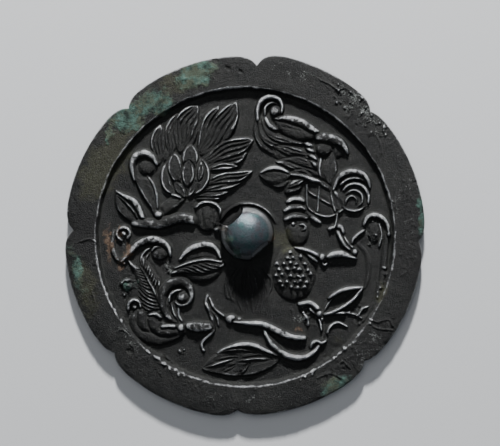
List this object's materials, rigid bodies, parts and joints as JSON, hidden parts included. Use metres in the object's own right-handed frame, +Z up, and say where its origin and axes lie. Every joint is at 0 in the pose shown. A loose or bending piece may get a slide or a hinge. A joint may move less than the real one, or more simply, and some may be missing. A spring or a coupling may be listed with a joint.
{
  "type": "ancient bronze mirror",
  "caption": "Eight-lobed cast bronze mirror with a raised rim, floral relief on its back and a pierced central knob for a cord, lying on its polished face.",
  "frame": {"origin": "centre of the underside, on the polished face that the mirror lies on", "axes": "+Z up out of the decorated back, +X along the cord tunnel through the knob, towards the notch at the back's upper left"},
  "size_m": [0.1439, 0.1449, 0.0136],
  "materials": {
    "bronze": "cast bronze with a dark grey-brown lustrous patina, silvery where worn, with green and blue-green corrosion on the rim"
  },
  "bodies": {
    "root": {"mirror": "bronze"}
  },
  "joints": []
}
